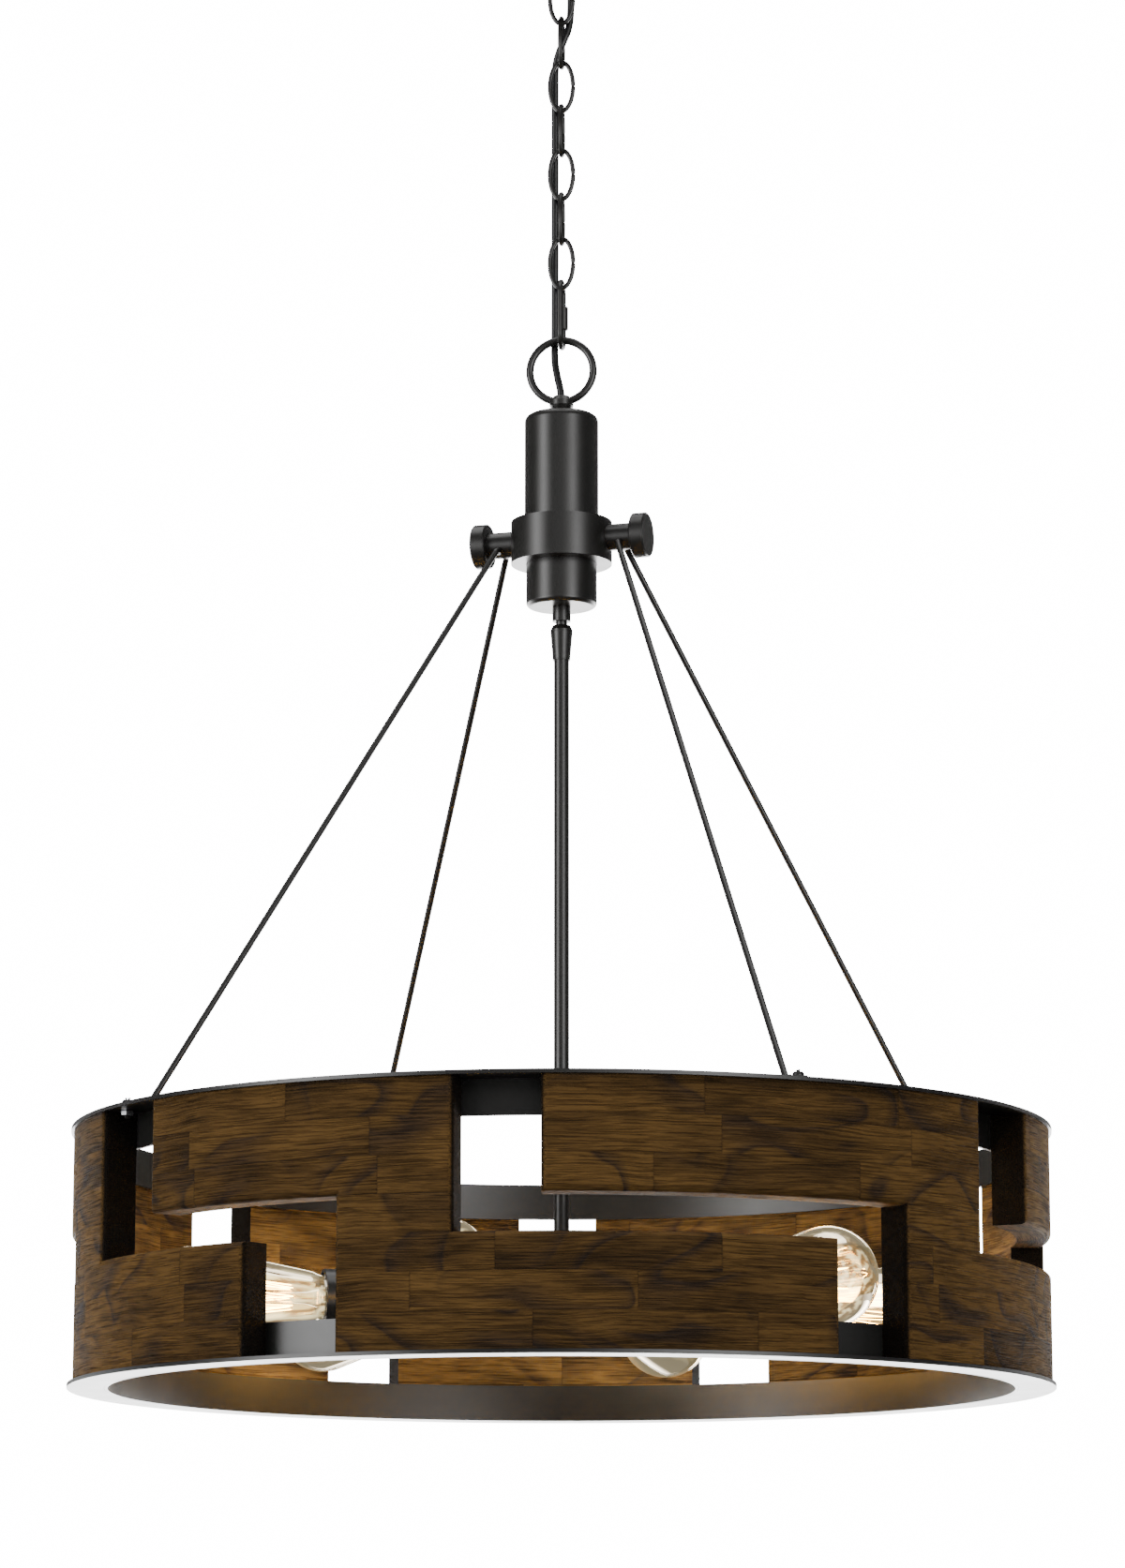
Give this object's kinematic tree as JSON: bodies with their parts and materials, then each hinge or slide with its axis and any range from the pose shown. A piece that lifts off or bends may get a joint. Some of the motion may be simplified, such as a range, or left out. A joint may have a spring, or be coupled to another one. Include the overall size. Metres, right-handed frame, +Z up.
{
  "type": "drum chandelier",
  "caption": "Round drum chandelier: interlocking Z-shaped wood blocks between two flanged metal rings, hung by rods, hub and chain, with a star of bare filament bulbs inside",
  "frame": {"origin": "centre of the canopy's rim, in the ceiling plane, on the chain's axis", "axes": "+Z up, out of the canopy into the ceiling; +X along the hub's crossbar towards its right-hand knob as pictured; +Y away from the pictured front"},
  "size_m": [0.6499, 0.65, 1.0339],
  "materials": {
    "black_metal": "fine-textured satin black-bronze powder coat",
    "dark_wood": "dark walnut stain, wire-brushed, open grain, in glued staves",
    "clear_glass": "clear blown glass",
    "zinc_steel": "zinc-plated steel hardware",
    "porcelain": "white lamp-holder body",
    "cord_jacket": "black lamp cord jacket"
  },
  "bodies": {
    "ceiling": {"mounting_strap": "zinc_steel", "ground_screw": "zinc_steel", "canopy_nipple": "zinc_steel", "nipple_nut": "zinc_steel", "canopy_loop": "black_metal", "power_cord": "cord_jacket"},
    "ceiling_cover": {"canopy": "black_metal"},
    "ring_nut": {"canopy_ring_nut": "black_metal"},
    "link_1": {"chain_link_1": "black_metal"},
    "link_2": {"chain_link_2": "black_metal"},
    "link_3": {"chain_link_3": "black_metal"},
    "link_4": {"chain_link_4": "black_metal"},
    "link_5": {"chain_link_5": "black_metal"},
    "link_6": {"chain_link_6": "black_metal"},
    "link_7": {"chain_link_7": "black_metal"},
    "quick_link_body": {"quick_link": "black_metal"},
    "quick_link_sleeve": {"quick_link_nut": "black_metal"},
    "drum": {"hanging_loop": "black_metal", "hub_cover": "black_metal", "hub_collar": "black_metal", "hub_cup": "black_metal", "hub_nipple": "zinc_steel", "hub_nuts": "zinc_steel", "rod_boss_left": "black_metal", "rod_boss_right": "black_metal", "crossbar_studs": "zinc_steel", "rod_1": "black_metal", "rod_2": "black_metal", "rod_3": "black_metal", "rod_4": "black_metal", "rod_screws": "black_metal", "rod_nuts": "black_metal", "upper_ring": "black_metal", "lower_ring": "black_metal", "wood_block_1": "dark_wood", "wood_block_2": "dark_wood", "wood_block_3": "dark_wood", "wood_block_4": "dark_wood", "wood_block_5": "dark_wood", "wood_block_6": "dark_wood", "block_screws": "zinc_steel", "block_dowels": "zinc_steel", "swivel_neck": "black_metal"},
    "left_knob": {"knob_left": "black_metal"},
    "right_knob": {"knob_right": "black_metal"},
    "lamp_cluster": {"swivel_socket": "black_metal", "stem_tube": "black_metal", "cluster_body": "black_metal", "cluster_plate": "black_metal", "cluster_finial": "black_metal", "socket_arms": "black_metal", "socket_covers": "black_metal", "socket_shells": "porcelain", "inner_wiring": "cord_jacket"},
    "lamp_1": {"bulb_1": "clear_glass"},
    "lamp_2": {"bulb_2": "clear_glass"},
    "lamp_3": {"bulb_3": "clear_glass"},
    "lamp_4": {"bulb_4": "clear_glass"},
    "lamp_5": {"bulb_5": "clear_glass"},
    "lamp_6": {"bulb_6": "clear_glass"}
  },
  "joints": [
    {"name": "ring_nut_lower", "type": "slide", "parent": "ceiling", "child": "ring_nut", "axis": [0, 0, -1], "range_m": [0, 0.025]},
    {"name": "canopy_lower", "type": "slide", "parent": "ceiling", "child": "ceiling_cover", "axis": [0, 0, -1], "range_m": [0, 0.025]},
    {"name": "link_1_swing", "type": "hinge", "parent": "ceiling", "child": "link_1", "pos_m": [0, 0, -0.053], "axis": [-0.1736, 0.9848, 0], "range_deg": [-15, 15], "deforming": ["power_cord"]},
    {"name": "link_2_swing", "type": "hinge", "parent": "link_1", "child": "link_2", "pos_m": [0, 0, -0.08463], "axis": [0.9848, 0.1736, 0], "range_deg": [-15, 15], "deforming": ["power_cord"]},
    {"name": "link_3_swing", "type": "hinge", "parent": "link_2", "child": "link_3", "pos_m": [0, 0, -0.11663], "axis": [-0.1736, 0.9848, 0], "range_deg": [-15, 15], "deforming": ["power_cord"]},
    {"name": "link_4_swing", "type": "hinge", "parent": "link_3", "child": "link_4", "pos_m": [0, 0, -0.14863], "axis": [0.9848, 0.1736, 0], "range_deg": [-15, 15], "deforming": ["power_cord"]},
    {"name": "link_5_swing", "type": "hinge", "parent": "link_4", "child": "link_5", "pos_m": [0, 0, -0.18063], "axis": [-0.1736, 0.9848, 0], "range_deg": [-15, 15], "deforming": ["power_cord"]},
    {"name": "link_6_swing", "type": "hinge", "parent": "link_5", "child": "link_6", "pos_m": [0, 0, -0.21263], "axis": [0.9848, 0.1736, 0], "range_deg": [-15, 15], "deforming": ["power_cord"]},
    {"name": "link_7_swing", "type": "hinge", "parent": "link_6", "child": "link_7", "pos_m": [0, 0, -0.24463], "axis": [-0.1736, 0.9848, 0], "range_deg": [-15, 15], "deforming": ["power_cord"]},
    {"name": "quick_link_swing", "type": "hinge", "parent": "link_7", "child": "quick_link_body", "pos_m": [0, 0, -0.27663], "axis": [0.9848, 0.1736, 0], "range_deg": [-15, 15], "deforming": ["power_cord"]},
    {"name": "quick_link_nut_travel", "type": "slide", "parent": "quick_link_body", "child": "quick_link_sleeve", "axis": [0, 0, -1], "range_m": [0, 0.005]},
    {"name": "drum_swing", "type": "hinge", "parent": "quick_link_body", "child": "drum", "pos_m": [0, 0, -0.319], "axis": [-0.1736, 0.9848, 0], "range_deg": [-15, 15], "deforming": ["power_cord"]},
    {"name": "right_knob_turn", "type": "hinge", "parent": "drum", "child": "right_knob", "pos_m": [0.0564, 0, -0.4564], "axis": [1, 0, 0], "continuous": true},
    {"name": "left_knob_turn", "type": "hinge", "parent": "drum", "child": "left_knob", "pos_m": [-0.0564, 0, -0.4564], "axis": [-1, 0, 0], "continuous": true},
    {"name": "stem_tilt", "type": "hinge", "parent": "drum", "child": "lamp_cluster", "pos_m": [0, 0, -0.52285], "axis": [0, 1, 0], "range_deg": [-2.5, 2.5]},
    {"name": "bulb_1_turn", "type": "hinge", "parent": "lamp_cluster", "child": "lamp_1", "pos_m": [0.1299, 0.075, -0.9754], "axis": [0.866, 0.5, 0], "continuous": true},
    {"name": "bulb_2_turn", "type": "hinge", "parent": "lamp_cluster", "child": "lamp_2", "pos_m": [0, 0.15, -0.9754], "axis": [0, 1, 0], "continuous": true},
    {"name": "bulb_3_turn", "type": "hinge", "parent": "lamp_cluster", "child": "lamp_3", "pos_m": [-0.1299, 0.075, -0.9754], "axis": [-0.866, 0.5, 0], "continuous": true},
    {"name": "bulb_4_turn", "type": "hinge", "parent": "lamp_cluster", "child": "lamp_4", "pos_m": [-0.1299, -0.075, -0.9754], "axis": [-0.866, -0.5, 0], "continuous": true},
    {"name": "bulb_5_turn", "type": "hinge", "parent": "lamp_cluster", "child": "lamp_5", "pos_m": [0, -0.15, -0.9754], "axis": [0, -1, 0], "continuous": true},
    {"name": "bulb_6_turn", "type": "hinge", "parent": "lamp_cluster", "child": "lamp_6", "pos_m": [0.1299, -0.075, -0.9754], "axis": [0.866, -0.5, 0], "continuous": true}
  ],
  "couplings": [
    {"joint": "canopy_lower", "follows": "ring_nut_lower", "ratio": 1}
  ]
}
